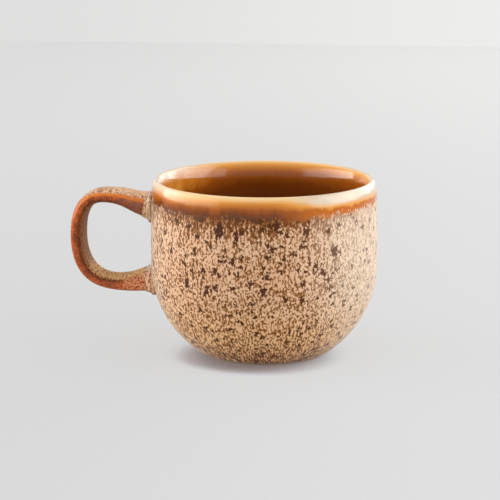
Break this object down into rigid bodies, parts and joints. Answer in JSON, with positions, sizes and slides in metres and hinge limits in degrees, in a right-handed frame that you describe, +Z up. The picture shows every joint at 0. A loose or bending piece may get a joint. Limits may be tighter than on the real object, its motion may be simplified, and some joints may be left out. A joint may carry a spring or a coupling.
{
  "type": "espresso cup",
  "caption": "Small glazed stoneware espresso cup with a round bowl, upright wall, turned foot and a one-finger loop handle luted to its side.",
  "frame": {"origin": "on the table, under the middle of the cup and handle taken together", "axes": "+Z up, parallel to the cup's axis; the handle points to -X"},
  "size_m": [0.09, 0.066, 0.051],
  "materials": {
    "clay": "bare fired stoneware, matt",
    "slip": "cream slip under thin glaze, satin",
    "honey_glaze": "glossy amber glaze",
    "speckled_glaze": "glossy cream glaze with brown speckles",
    "rust_glaze": "glossy speckled glaze that breaks rust brown at the edges"
  },
  "bodies": {
    "root": {"cup_body": "clay", "handle": "clay", "upper_slip_joint": "slip", "lower_slip_joint": "slip", "liner_glaze": "honey_glaze", "outer_glaze": "speckled_glaze", "handle_glaze": "rust_glaze"}
  },
  "joints": []
}
